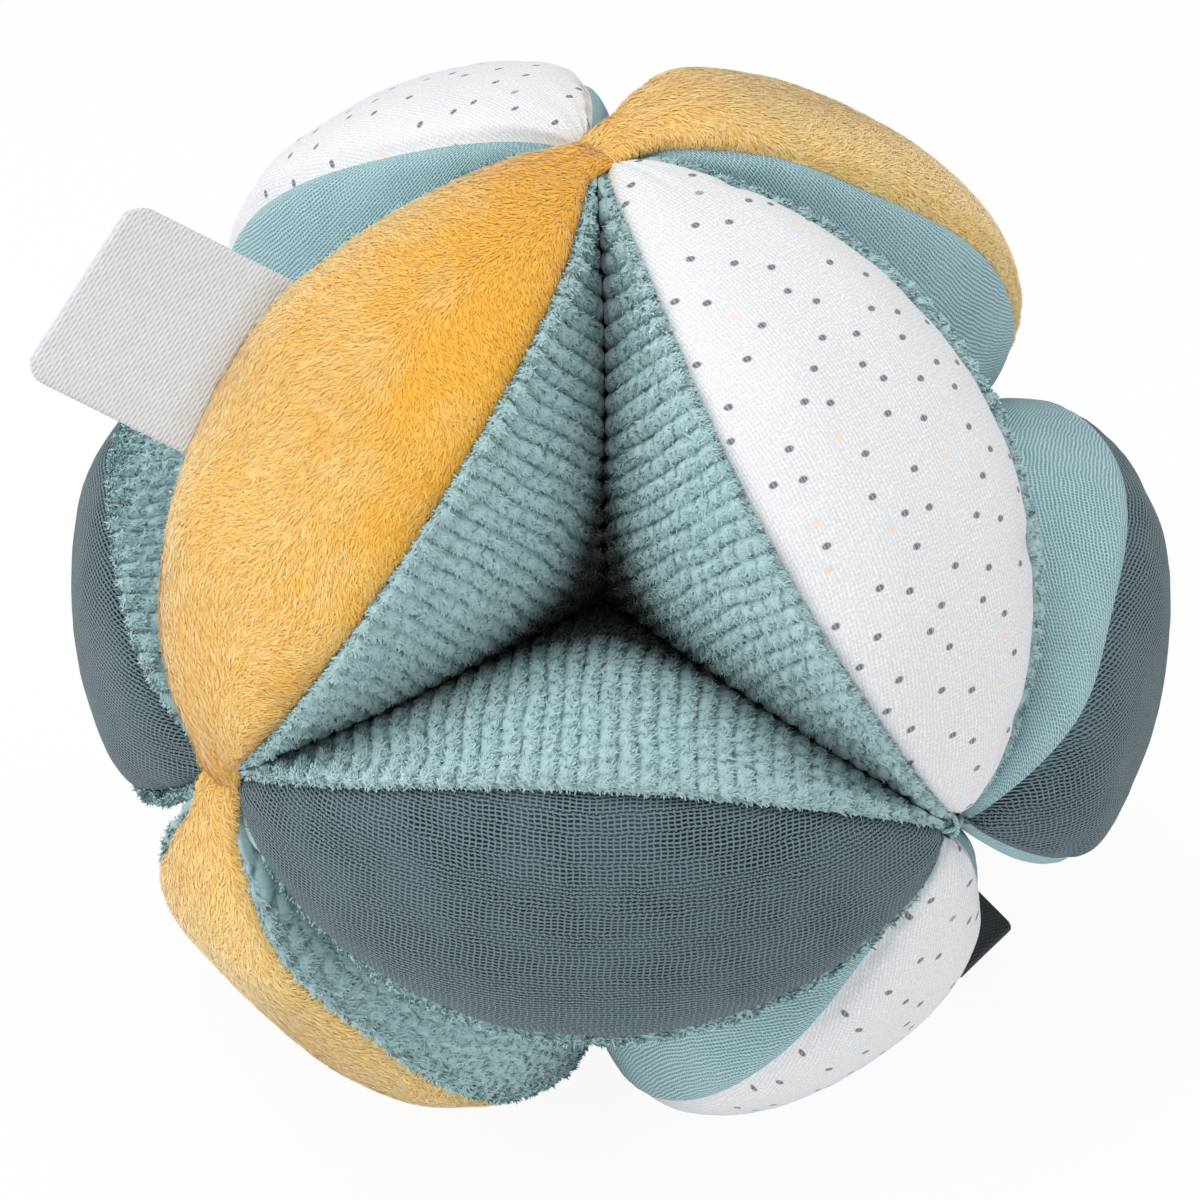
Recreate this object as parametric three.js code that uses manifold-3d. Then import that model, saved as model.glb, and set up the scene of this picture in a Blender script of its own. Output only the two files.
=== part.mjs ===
// A soft activity ball for a baby. Twelve stuffed pods lie along the edges of an octahedron, four
// tips are tacked together at each of its six corners, and a three-sided finger pocket opens in
// each of its eight faces. Millimetres, +Z up, standing on the four lower pods at z = 0.
import * as THREE from 'three';
import Module from 'manifold-3d';
import { mergeVertices } from 'three/addons/utils/BufferGeometryUtils.js';

// The pod. Radii and heights are measured from the middle of the ball.
const CROWN_RADIUS = 65; // top of the outer panel, midway between the tips
const TIP_RADIUS = 57; // the tacks draw the tips in
const PANEL_HALF_WIDTH = 18; // middle of the outer panel to its seam
const SEAM_DROP = 5.7; // how far the stuffing lifts the crown over the seams
const KEEL_RADIUS = 3; // inner fold of the side panel, midway between the tips
const SIDE_BULGE = 8; // how far the stuffing swells a side

// How the pod tapers from its middle to its tips: 1 is even, and less stays full for longer.
const CROWN_TAPER = 0.47;
const WIDTH_TAPER = 0.75;
const BULGE_TAPER = 0.6;
const KEEL_TAPER = 0.35;
const CROWN_ROUNDNESS = 3.5; // 2 is a round crown, and more is flatter with rounder shoulders

// Cloth and the room between the pieces.
const FABRIC_THICKNESS = 1.2; // backing and pile together
const STUFFING_GAP = 0.3; // between the cloth and its filling
const SEAM_GAP = 0.3; // between the two cloths that a seam joins
const POD_GAP = 0.3; // between the sides of two pods that press on each other
const REST_FLAT = 0.5; // how deep a pod is pressed flat where the ball stands
const TIP_INSET = 2; // a layer inside the pod ends this many of its depths before the tip
const KEEL_INSET = 2; // and stays this many of its depths off the folded keel

// The thread tack that binds four tips.
const TIP_GAP = 1.4; // a tip to the axis of its corner
const TACK_CLEARANCE = 0.3; // between the tack and the tips round it
const TACK_LENGTH = 4;

// The folded ribbons that stand out of the seams. A ribbon's angle says where along the pod it
// sits, and its lift how far it points from straight sideways towards the pod's crown, in degrees.
const RIBBON_THICKNESS = 0.5; // one layer
const RIBBON_FOLD_GAP = 0.4; // between the two layers
const RIBBON_CLEARANCE = 0.3; // between the seam and the ribbon's foot
const LABEL_WIDTH = 23;
const LABEL_LENGTH = 19;
const LABEL_CORNER = 2.5; // radius of its two free corners
const LABEL_ANGLE = -0.5;
const LABEL_LIFT = 45;
const TAG_WIDTH = 10;
const TAG_LENGTH = 19.5;
const TAG_CORNER = 1;
const TAG_ANGLE = 10;
const TAG_LIFT = 10;

// Facets.
const RINGS = 10; // from tip to tip
const PANEL_STRIPS = 4; // across the outer panel
const SIDE_STRIPS = 8; // from seam to seam round the keel
const TACK_SIDES = 10;
const FOLD_STEPS = 6; // round the fold and the corners of a ribbon

const CORNER_ANGLE = Math.PI / 4; // middle of a pod to the axis of the corner at its tip
const AXIS_X = new THREE.Vector3(1, 0, 0);
const AXIS_Y = new THREE.Vector3(0, 1, 0);
const AXIS_Z = new THREE.Vector3(0, 0, 1);
const { lerp, degToRad } = THREE.MathUtils;

const OCHRE_PLUSH = cloth(0xecb455, 0.95);
const WHITE_MUSLIN = cloth(0xf2f3f5, 0.9);
const SLATE_MUSLIN = cloth(0x566e76, 0.9);
const TEAL_CHENILLE = cloth(0x86aeb0, 0.97);
const TEAL_MUSLIN = cloth(0x8fbcc1, 0.9);
const FIBRE_FILLING = cloth(0xf7f7f4, 1);
const THREAD = cloth(0x7fa5a8, 0.8);
const WHITE_RIBBON = cloth(0xe2e5e9, 0.7);
const BLACK_RIBBON = cloth(0x282d30, 0.5);

function cloth(color, roughness) {
  return new THREE.MeshStandardMaterial({ color, roughness, metalness: 0 });
}

// Angle from the middle of a pod to its tip, for a layer that lies `inset` inside the pod.
function halfSpan(inset) {
  return CORNER_ANGLE - Math.asin((TIP_GAP + TIP_INSET * inset) / TIP_RADIUS);
}

// The pod's section at `angle` from its middle, for a layer that lies `inset` inside the pod.
// `room` is the half width that the neighbours leave at a height: they meet on flat planes
// through the middle of the ball, which run together at the tips.
function section(angle, inset) {
  const fullness = Math.max(Math.cos((Math.PI / 2) * (angle / halfSpan(inset))), 0);
  const crown = lerp(TIP_RADIUS, CROWN_RADIUS, fullness ** CROWN_TAPER) - inset;
  const seam = crown - SEAM_DROP * fullness;
  const keel = lerp(TIP_RADIUS - inset, KEEL_RADIUS + KEEL_INSET * inset, fullness ** KEEL_TAPER);
  const planeSlope = Math.cos(CORNER_ANGLE + Math.abs(angle));
  const planeGap = (POD_GAP / 2 + inset) * Math.SQRT2;
  const room = (height) => height * planeSlope - planeGap;
  const halfWidth = Math.min((PANEL_HALF_WIDTH - inset) * fullness ** WIDTH_TAPER, room(seam));
  return { fullness, crown, seam, keel, room, halfWidth };
}

// A pod's own axes: X out through its middle, Y towards its second tip, Z to one side.
function podPoint(angle, height, width) {
  return new THREE.Vector3(height * Math.cos(angle), height * Math.sin(angle), width);
}

// The outer panel, `across` from -1 to 1, with its edges kept `trim` inside the seams.
function panelPoint(angle, across, inset, trim) {
  const { crown, seam, halfWidth } = section(angle, inset);
  const width = across * Math.max(halfWidth - trim, 0);
  const shoulder = Math.abs(width / halfWidth) ** CROWN_ROUNDNESS;
  return podPoint(angle, lerp(crown, seam, shoulder), width);
}

// The side panel, `across` from 1 at one seam round the keel at 0 to -1 at the other seam.
function sidePoint(angle, across, inset) {
  const { fullness, seam, keel, room, halfWidth } = section(angle, inset);
  const rise = Math.abs(across);
  const height = lerp(keel, seam, rise);
  const bulge = (SIDE_BULGE - inset / 2) * fullness ** BULGE_TAPER;
  const width = Math.min(rise * halfWidth + 4 * rise * (1 - rise) * bulge, room(height));
  return podPoint(angle, height, Math.sign(across) * width);
}

// Where the rings of a layer lie between its tips, closer together towards the tips.
function ringAngle(ring, inset) {
  return halfSpan(inset) * Math.sin((Math.PI / 2) * ((2 * ring) / RINGS - 1));
}

function isTip(ring) {
  return ring === 0 || ring === RINGS;
}

function range(count, value) {
  return Array.from({ length: count }, (_, i) => value(i));
}

// One ring of the outer panel. The panel's own tip stops short of the tip of the seams.
function panelRow(ring, inset, trim) {
  const angle = ringAngle(ring, inset);
  const tipAngle = angle - Math.sign(angle) * TIP_INSET * (trim / TIP_RADIUS);
  return range(PANEL_STRIPS + 1, (i) => isTip(ring)
    ? podPoint(tipAngle, section(tipAngle, inset).crown, 0)
    : panelPoint(angle, (2 * i) / PANEL_STRIPS - 1, inset, trim));
}

function sideRow(ring, inset) {
  const angle = ringAngle(ring, inset);
  return range(SIDE_STRIPS + 1, (i) => isTip(ring)
    ? podPoint(angle, section(angle, inset).seam, 0)
    : sidePoint(angle, 1 - (2 * i) / SIDE_STRIPS, inset));
}

// Joins closed rows of points into one closed skin. Points that coincide become one, and so the
// skin closes by itself where a row shrinks to an edge or a point. Each four-sided face is split
// from the corner that lies farthest along the pod, so that the layers of a pod split alike.
function loft(rows) {
  const size = rows[0].length;
  const points = rows.flat();
  const corners = [];
  for (let row = 0; row + 1 < rows.length; row++) {
    for (let i = 0; i < size; i++) {
      const a = row * size + i;
      const b = a + size;
      const d = row * size + (i + 1) % size;
      const c = d + size;
      const reach = [a, b, c, d].map((corner) => Math.abs(points[corner].y));
      const far = reach.indexOf(Math.max(...reach));
      if (far % 2 === 0) corners.push(a, b, c, a, c, d);
      else corners.push(a, b, d, b, c, d);
    }
  }
  const faces = new THREE.BufferGeometry().setFromPoints(points);
  faces.setIndex(corners);
  const skin = mergeVertices(faces);
  skin.setIndex(withoutSlivers(Array.from(skin.index.array)));
  return skin;
}

function withoutSlivers(corners) {
  const kept = [];
  for (let i = 0; i < corners.length; i += 3) {
    const triangle = corners.slice(i, i + 3);
    if (new Set(triangle).size === 3) kept.push(...triangle);
  }
  return kept;
}

function outerPanel() {
  const rows = range(RINGS + 1, (ring) => [
    ...panelRow(ring, 0, SEAM_GAP),
    ...panelRow(ring, FABRIC_THICKNESS, SEAM_GAP).reverse(),
  ]);
  return loft(rows);
}

function sidePanel() {
  const rows = range(RINGS + 1, (ring) => [
    ...sideRow(ring, 0),
    ...sideRow(ring, FABRIC_THICKNESS).reverse(),
  ]);
  return loft(rows);
}

// The space inside the cloth, drawn in by the gap that the filling keeps.
function filling() {
  const rows = range(RINGS + 1, (ring) => [
    ...panelRow(ring, FABRIC_THICKNESS, 0),
    ...sideRow(ring, FABRIC_THICKNESS).slice(1, -1),
  ]);
  return drawnIn(loft(rows), STUFFING_GAP);
}

function drawnIn(skin, depth) {
  skin.computeVertexNormals();
  const { position, normal } = skin.attributes;
  const point = new THREE.Vector3();
  const outward = new THREE.Vector3();
  for (let i = 0; i < position.count; i++) {
    outward.fromBufferAttribute(normal, i);
    point.fromBufferAttribute(position, i).addScaledVector(outward, -depth);
    position.setXYZ(i, point.x, point.y, point.z);
  }
  return skin;
}

const wasm = await Module();
wasm.setup();

function toSolid(geometry) {
  const bare = geometry.clone();
  bare.deleteAttribute('normal');
  bare.deleteAttribute('uv');
  const merged = mergeVertices(bare);
  return new wasm.Manifold(new wasm.Mesh({
    numProp: 3,
    vertProperties: new Float32Array(merged.attributes.position.array),
    triVerts: new Uint32Array(merged.index.array),
  }));
}

function fromSolid(solid) {
  const mesh = solid.getMesh();
  const geometry = new THREE.BufferGeometry();
  geometry.setAttribute('position', new THREE.Float32BufferAttribute(mesh.vertProperties, 3));
  geometry.setIndex(Array.from(mesh.triVerts));
  return geometry;
}

// Direction of a pod's second tip in the pod's own axes. The lower pods end at the bottom corner.
const TO_SECOND_TIP = podPoint(CORNER_ANGLE, 1, 0);

// Middle of the ball to the surface that it stands on.
function restHeight(panel) {
  const position = panel.attributes.position;
  const point = new THREE.Vector3();
  const reach = range(position.count, (i) => point.fromBufferAttribute(position, i).dot(TO_SECOND_TIP));
  return Math.max(...reach) - REST_FLAT;
}

// The outer panel of a lower pod, pressed flat at `height` towards its second tip.
function pressedPanel(panel, height) {
  const size = 2 * CROWN_RADIUS;
  const below = new THREE.BoxGeometry(size, size, size);
  below.rotateZ(CORNER_ANGLE);
  below.translate(...TO_SECOND_TIP.clone().multiplyScalar(height + size / 2));
  return fromSolid(toSolid(panel).subtract(toSolid(below)));
}

// A barrel of thread, fullest in its middle, along Y.
function tipTack() {
  const radius = TIP_GAP - TACK_CLEARANCE;
  const half = TACK_LENGTH / 2;
  const barrel = new THREE.EllipseCurve(0, 0, radius, half, -Math.PI / 2, Math.PI / 2);
  return new THREE.LatheGeometry(barrel.getPoints(FOLD_STEPS), TACK_SIDES);
}

// A ribbon folded in two, from its foot at y = 0 to the fold, centred on X and Z. It is the fold's
// profile, pressed thin at the foot, drawn out over the width and cut to round free corners.
function foldedRibbon(width, length, corner) {
  const half = RIBBON_THICKNESS + RIBBON_FOLD_GAP / 2;
  const inner = RIBBON_FOLD_GAP / 2;
  const profile = new THREE.Shape();
  profile.moveTo(0, -inner);
  profile.lineTo(RIBBON_THICKNESS, -half);
  profile.lineTo(length - half, -half);
  profile.absarc(length - half, 0, half, -Math.PI / 2, Math.PI / 2, false);
  profile.lineTo(RIBBON_THICKNESS, half);
  profile.lineTo(0, inner);
  profile.lineTo(length - half, inner);
  profile.absarc(length - half, 0, inner, Math.PI / 2, -Math.PI / 2, true);
  const folded = new THREE.ExtrudeGeometry(profile, {
    depth: width,
    bevelEnabled: false,
    curveSegments: FOLD_STEPS,
  });
  folded.translate(0, 0, -width / 2);
  folded.applyMatrix4(new THREE.Matrix4().makeBasis(AXIS_Y, AXIS_Z, AXIS_X));

  const outline = new THREE.Shape();
  outline.moveTo(-width / 2, -length);
  outline.lineTo(width / 2, -length);
  outline.lineTo(width / 2, length - corner);
  outline.absarc(width / 2 - corner, length - corner, corner, 0, Math.PI / 2, false);
  outline.absarc(corner - width / 2, length - corner, corner, Math.PI / 2, Math.PI, false);
  const cutter = new THREE.ExtrudeGeometry(outline, {
    depth: 4 * half,
    bevelEnabled: false,
    curveSegments: FOLD_STEPS,
  });
  cutter.translate(0, 0, -2 * half);
  return fromSolid(toSolid(folded).intersect(toSolid(cutter)));
}

function named(name, geometry, material) {
  const mesh = new THREE.Mesh(geometry, material);
  mesh.name = name;
  return mesh;
}

// A group turned so that its own X, Y and Z lie along three square directions.
function turnedGroup(x, y, z) {
  const group = new THREE.Group();
  group.quaternion.setFromRotationMatrix(new THREE.Matrix4().makeBasis(x, y, z));
  return group;
}

// A ribbon that stands out of the seam on a pod's -Z side, with its width along the seam.
function seamRibbon(name, geometry, material, angle, lift) {
  const seamPoint = (at) => podPoint(at, section(at, 0).seam, -section(at, 0).halfWidth);
  const step = degToRad(1);
  const along = seamPoint(angle + step).sub(seamPoint(angle - step)).normalize();
  const out = podPoint(angle, Math.sin(lift), -Math.cos(lift));
  out.addScaledVector(along, -out.dot(along)).normalize();
  const group = turnedGroup(along, out, along.clone().cross(out));
  group.position.copy(seamPoint(angle)).addScaledVector(out, RIBBON_CLEARANCE);
  group.add(named(name, geometry, material));
  return group;
}

// The six corners of the octahedron.
const CORNERS = {
  top: new THREE.Vector3(0, 0, 1),
  bottom: new THREE.Vector3(0, 0, -1),
  front_left: new THREE.Vector3(-1, -1, 0).normalize(),
  front_right: new THREE.Vector3(1, -1, 0).normalize(),
  back_left: new THREE.Vector3(-1, 1, 0).normalize(),
  back_right: new THREE.Vector3(1, 1, 0).normalize(),
};

// Each pod runs from one corner to the next. Pods of one outer cloth make a ring round the ball.
const PODS = [
  ['upper_front_left', 'top', 'front_left', OCHRE_PLUSH, TEAL_CHENILLE],
  ['lower_front_left', 'front_left', 'bottom', OCHRE_PLUSH, TEAL_CHENILLE],
  ['lower_back_right', 'back_right', 'bottom', OCHRE_PLUSH, TEAL_MUSLIN],
  ['upper_back_right', 'top', 'back_right', OCHRE_PLUSH, TEAL_MUSLIN],
  ['upper_front_right', 'top', 'front_right', WHITE_MUSLIN, TEAL_CHENILLE],
  ['lower_front_right', 'front_right', 'bottom', WHITE_MUSLIN, TEAL_MUSLIN],
  ['lower_back_left', 'back_left', 'bottom', WHITE_MUSLIN, TEAL_CHENILLE],
  ['upper_back_left', 'top', 'back_left', WHITE_MUSLIN, TEAL_MUSLIN],
  ['front', 'front_left', 'front_right', SLATE_MUSLIN, TEAL_CHENILLE],
  ['right', 'front_right', 'back_right', SLATE_MUSLIN, TEAL_MUSLIN],
  ['back', 'back_right', 'back_left', SLATE_MUSLIN, TEAL_MUSLIN],
  ['left', 'back_left', 'front_left', SLATE_MUSLIN, TEAL_CHENILLE],
];

const panel = outerPanel();
const side = sidePanel();
const stuffing = filling();
const standing = restHeight(panel);
const flatPanel = pressedPanel(panel, standing);

const RIBBONS = {
  upper_front_left: () => seamRibbon('woven_label', foldedRibbon(LABEL_WIDTH, LABEL_LENGTH,
    LABEL_CORNER), WHITE_RIBBON, degToRad(LABEL_ANGLE), degToRad(LABEL_LIFT)),
  lower_back_right: () => seamRibbon('care_tag', foldedRibbon(TAG_WIDTH, TAG_LENGTH,
    TAG_CORNER), BLACK_RIBBON, degToRad(TAG_ANGLE), degToRad(TAG_LIFT)),
};

function pod(name, from, to, outerCloth, sideCloth) {
  const first = CORNERS[from];
  const second = CORNERS[to];
  const middle = first.clone().add(second).normalize();
  const along = second.clone().sub(first).normalize();
  const group = turnedGroup(middle, along, middle.clone().cross(along));
  group.add(
    named(`${name}_outer_panel`, to === 'bottom' ? flatPanel : panel, outerCloth),
    named(`${name}_side_panel`, side, sideCloth),
    named(`${name}_filling`, stuffing, FIBRE_FILLING),
  );
  if (RIBBONS[name]) group.add(RIBBONS[name]());
  return group;
}

const ball = new THREE.Group();
ball.position.z = standing;
for (const row of PODS) ball.add(pod(...row));

const tack = tipTack();
for (const [name, axis] of Object.entries(CORNERS)) {
  const mesh = named(`${name}_tack`, tack, THREAD);
  mesh.quaternion.setFromUnitVectors(AXIS_Y, axis);
  mesh.position.copy(axis).multiplyScalar(TIP_RADIUS);
  ball.add(mesh);
}

export default ball;
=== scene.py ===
# %% [markdown]
# # A soft activity ball, dressed in cloth
# The ball is sewn from twelve stuffed pods, shaped like orange segments. They lie along the edges of
# an octahedron, their tips are tacked together in fours, and between them a finger finds eight
# three-sided pockets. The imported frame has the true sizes. This script keeps them and gives each
# pod its swelling, its seams and its cloth: plush, dotted muslin, plain muslin and ribbed chenille.

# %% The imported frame
import math

import bpy
import numpy as np
from mathutils import Matrix, Vector


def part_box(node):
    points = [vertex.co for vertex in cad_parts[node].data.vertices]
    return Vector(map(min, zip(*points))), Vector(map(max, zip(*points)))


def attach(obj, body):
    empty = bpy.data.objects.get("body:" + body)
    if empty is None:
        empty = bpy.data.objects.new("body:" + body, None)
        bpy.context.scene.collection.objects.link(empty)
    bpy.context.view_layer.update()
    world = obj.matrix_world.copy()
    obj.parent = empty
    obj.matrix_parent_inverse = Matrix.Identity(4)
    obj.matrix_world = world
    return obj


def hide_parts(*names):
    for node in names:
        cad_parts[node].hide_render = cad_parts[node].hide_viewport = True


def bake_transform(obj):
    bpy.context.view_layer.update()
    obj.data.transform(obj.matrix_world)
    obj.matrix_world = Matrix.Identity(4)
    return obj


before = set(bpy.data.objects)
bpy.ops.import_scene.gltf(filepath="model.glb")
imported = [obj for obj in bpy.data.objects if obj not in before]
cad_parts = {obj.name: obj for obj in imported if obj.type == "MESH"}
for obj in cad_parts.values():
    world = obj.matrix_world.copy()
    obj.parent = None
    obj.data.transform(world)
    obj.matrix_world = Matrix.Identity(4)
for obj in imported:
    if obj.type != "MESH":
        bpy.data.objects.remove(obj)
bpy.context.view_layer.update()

# %% [markdown]
# ## The pods' places
# Everything is measured from the middle of the ball, and a tack on the ball's equator says how high
# that is. Six corners and a list of twelve pods fix the whole pattern. Each pod has its own axes: X
# points out through its middle, Y towards its second tip and Z to one side. The pods' shape is then
# worked out once in these axes, in millimetres, and turned into place twelve times.

# %% Corners, pods and cloths
MM = 0.001
tack_low, tack_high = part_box("front_left_tack")
CENTRE = np.array([0.0, 0.0, (tack_low.z + tack_high.z) / 2])
SQUARE = math.sqrt(0.5)
CORNERS = {
    "top": (0, 0, 1),
    "bottom": (0, 0, -1),
    "front_left": (-SQUARE, -SQUARE, 0),
    "front_right": (SQUARE, -SQUARE, 0),
    "back_left": (-SQUARE, SQUARE, 0),
    "back_right": (SQUARE, SQUARE, 0),
}
# A pod, its first and second corner, its outer cloth and the cloth of its sides.
PODS = [
    ("upper_front_left", "top", "front_left", "ochre_plush", "teal_chenille"),
    ("lower_front_left", "front_left", "bottom", "ochre_plush", "teal_chenille"),
    ("lower_back_right", "back_right", "bottom", "ochre_plush", "teal_muslin"),
    ("upper_back_right", "top", "back_right", "ochre_plush", "teal_muslin"),
    ("upper_front_right", "top", "front_right", "white_muslin", "teal_chenille"),
    ("lower_front_right", "front_right", "bottom", "white_muslin", "teal_muslin"),
    ("lower_back_left", "back_left", "bottom", "white_muslin", "teal_chenille"),
    ("upper_back_left", "top", "back_left", "white_muslin", "teal_muslin"),
    ("front", "front_left", "front_right", "slate_muslin", "teal_chenille"),
    ("right", "front_right", "back_right", "slate_muslin", "teal_muslin"),
    ("back", "back_right", "back_left", "slate_muslin", "teal_muslin"),
    ("left", "back_left", "front_left", "slate_muslin", "teal_chenille"),
]


def pod_axes(first, second):
    a, b = np.array(CORNERS[first], float), np.array(CORNERS[second], float)
    x, y = (a + b) / np.linalg.norm(a + b), (b - a) / np.linalg.norm(b - a)
    return np.column_stack([x, y, np.cross(x, y)])


print("middle of the ball at", round(1000 * CENTRE[2], 3), "mm, pods:", len(PODS))

# %% [markdown]
# ## The shape of one pod
# These are the sizes that the solids were made from. At each angle from the pod's middle a section
# has a crown, two seams and a keel deep inside the ball. The outer panel is a pointed lens between
# the seams, and the side panel runs from one seam round the keel to the other. Neighbouring pods
# press on each other along flat planes through the middle of the ball, and nothing may cross them.

# %% Sections, lens and sides
CROWN_RADIUS, TIP_RADIUS, KEEL_RADIUS = 65.0, 57.0, 3.0  # mm
PANEL_HALF_WIDTH, SEAM_DROP, SIDE_BULGE = 18.0, 5.7, 8.0  # mm
TIP_GAP, POD_GAP = 1.4, 0.3  # mm
CROWN_TAPER, KEEL_TAPER, WIDTH_TAPER, BULGE_TAPER = 0.47, 0.35, 0.75, 0.6
LENS_FLATNESS = 3.5


def half_span(inset=0.0):
    return math.pi / 4 - math.asin((TIP_GAP + 2 * inset) / TIP_RADIUS)


HALF_SPAN = half_span()


def section(angle, inset=0.0):
    fullness = np.maximum(np.cos(math.pi / 2 * angle / half_span(inset)), 0)
    tip = TIP_RADIUS - inset
    crown = tip + (CROWN_RADIUS - TIP_RADIUS) * fullness**CROWN_TAPER
    seam = crown - SEAM_DROP * fullness
    keel = tip + (KEEL_RADIUS + 2 * inset - tip) * fullness**KEEL_TAPER
    room = seam * np.cos(math.pi / 4 + np.abs(angle)) - (POD_GAP / 2 + inset) / SQUARE
    half_width = np.minimum((PANEL_HALF_WIDTH - inset) * fullness**WIDTH_TAPER, room)
    return fullness, crown, seam, keel, half_width


def pod_point(angle, height, width):
    return np.stack([height * np.cos(angle), height * np.sin(angle), width], axis=-1)


def lens_point(angle, across, crown_share=1.0, inset=0.0):
    fullness, crown, seam, keel, half_width = section(angle, inset)
    crown = seam + (crown - seam) * crown_share
    height = crown + (seam - crown) * np.abs(across) ** LENS_FLATNESS
    return pod_point(angle, height, across * half_width)


def side_point(angle, across, bulge_share=1.0, inset=0.0):
    fullness, crown, seam, keel, half_width = section(angle, inset)
    rise = np.abs(across)
    height = keel + (seam - keel) * rise
    bulge = (SIDE_BULGE - inset / 2) * bulge_share * fullness**BULGE_TAPER
    width = rise * half_width + 4 * rise * (1 - rise) * bulge
    return kept_apart(pod_point(angle, height, np.sign(across) * width), POD_GAP / 2 + inset)


def plane_distance(points):
    """How far points lie inside the planes on which a pod meets its neighbours."""
    x, y, z = np.moveaxis(points, -1, 0)
    return (x - np.abs(y)) / 2 - np.abs(z) * SQUARE


def kept_apart(points, gap):
    """Points that come too near a neighbour's plane are pushed back to it."""
    short = np.maximum(gap - plane_distance(points), 0) / SQUARE
    moved = points.copy()
    moved[..., 2] = np.sign(points[..., 2]) * np.maximum(np.abs(points[..., 2]) - short, 0)
    return moved


def bell(away):
    return np.exp(-(away**2))


def softly_apart(points, gap, softness):
    """Like kept_apart, but the cloth curves away before it touches and leaves a dark crease."""
    spare = (plane_distance(points) - gap) / softness
    wanted = softness * np.logaddexp(0, spare)
    moved = points.copy()
    closer = np.maximum(wanted - softness * spare, 0) / SQUARE
    moved[..., 2] = np.sign(points[..., 2]) * np.maximum(np.abs(points[..., 2]) - closer, 0)
    return moved


print("half a pod spans", round(math.degrees(HALF_SPAN), 2), "degrees")

# %% [markdown]
# ## Stuffing the pods
# On the real ball flat cloth is sewn into a bag, turned, and filled with fibre until it swells. The
# cloth simulation does the same: twelve slack bags, a little under size, are held at their seams,
# keels and tips, and air pressure swells the cloth between them. The cloth is cut a little too large,
# as real cloth is eased into a seam, so that it puckers where it is held. A cap keeps each point
# near the size that the frame gives it, and the planes between the pods keep neighbours apart.

# %% Twelve slack bags
SIM_ROWS, SIM_LENS, SIM_SIDE = 53, 19, 43
SIM_FRAMES = 20
SWELL_CAP = 2.2  # mm
PRESSURE = 2600.0
SLACK_CROWN, SLACK_BULGE, DENT = 0.9, 0.85, 0.006


def ring_angles(t):
    return HALF_SPAN * np.sin(math.pi / 2 * t)


def smooth_noise(u, v, seed):
    """Soft random hills from -1 to 1, one to each unit of u and v."""
    table = np.random.default_rng(seed).uniform(-1, 1, (64, 64))
    i, j = np.floor(u).astype(int), np.floor(v).astype(int)
    f, g = u - i, v - j
    f, g = f * f * (3 - 2 * f), g * g * (3 - 2 * g)
    low = (1 - g) * table[i % 64, j % 64] + g * table[i % 64, (j + 1) % 64]
    high = (1 - g) * table[(i + 1) % 64, j % 64] + g * table[(i + 1) % 64, (j + 1) % 64]
    return (1 - f) * low + f * high


def pod_grids(crown_share, bulge_share):
    angle = ring_angles(np.linspace(-1, 1, SIM_ROWS))[:, None]
    lens = lens_point(angle, np.linspace(-1, 1, SIM_LENS)[None, :], crown_share)
    side = side_point(angle, np.linspace(1, -1, SIM_SIDE)[None, :], bulge_share)
    return lens, side


def linked(name, data):
    """A new object in the scene."""
    made = bpy.data.objects.new(name, data)
    bpy.context.scene.collection.objects.link(made)
    return made


def bag_mesh(name, lens, side):
    """One closed bag: rings of lens and side points between two tips."""
    rings = np.concatenate([lens[1:-1], side[1:-1, 1:-1]], axis=1)
    count, around = rings.shape[:2]
    points = np.concatenate([rings.reshape(-1, 3), lens[:1, 0], lens[-1:, 0]]) * MM
    first, last = count * around, count * around + 1
    faces = []
    for j in range(around):
        k = (j + 1) % around
        end = (count - 1) * around
        faces += [(first, j, k), (last, end + k, end + j)]
        for row in range(0, end, around):
            faces.append((row + j, row + around + j, row + around + k, row + k))
    mesh = bpy.data.meshes.new(name)
    mesh.from_pydata(points.tolist(), [], faces)
    bag = linked(name, mesh)
    keel = SIM_LENS + (SIM_SIDE - 3) // 2
    held = [i * around + j for i in range(count) for j in (0, SIM_LENS - 1, keel)]
    bag.vertex_groups.new(name="held").add(held + [first, last], 1.0, "REPLACE")
    return bag


def pumped_up(bags):
    for bag in bags:
        cloth = bag.modifiers.new("swelling", "CLOTH").settings
        cloth.vertex_group_mass = "held"
        cloth.use_pressure = True
        cloth.uniform_pressure_force = PRESSURE
        cloth.effector_weights.gravity = 0
        cloth.shrink_min = -0.008
        cloth.tension_stiffness = cloth.compression_stiffness = 15
        cloth.bending_stiffness = 0.05
        cloth.air_damping = 2.0
    for step in range(1, SIM_FRAMES + 1):
        bpy.context.scene.frame_set(step)
    graph = bpy.context.evaluated_depsgraph_get()
    results = []
    for bag in bags:
        mesh = bag.evaluated_get(graph).to_mesh()
        points = np.empty(len(mesh.vertices) * 3)
        mesh.vertices.foreach_get("co", points)
        results.append(points.reshape(-1, 3) / MM)
        bpy.data.objects.remove(bag)
    bpy.context.scene.frame_set(1)
    return results


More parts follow.
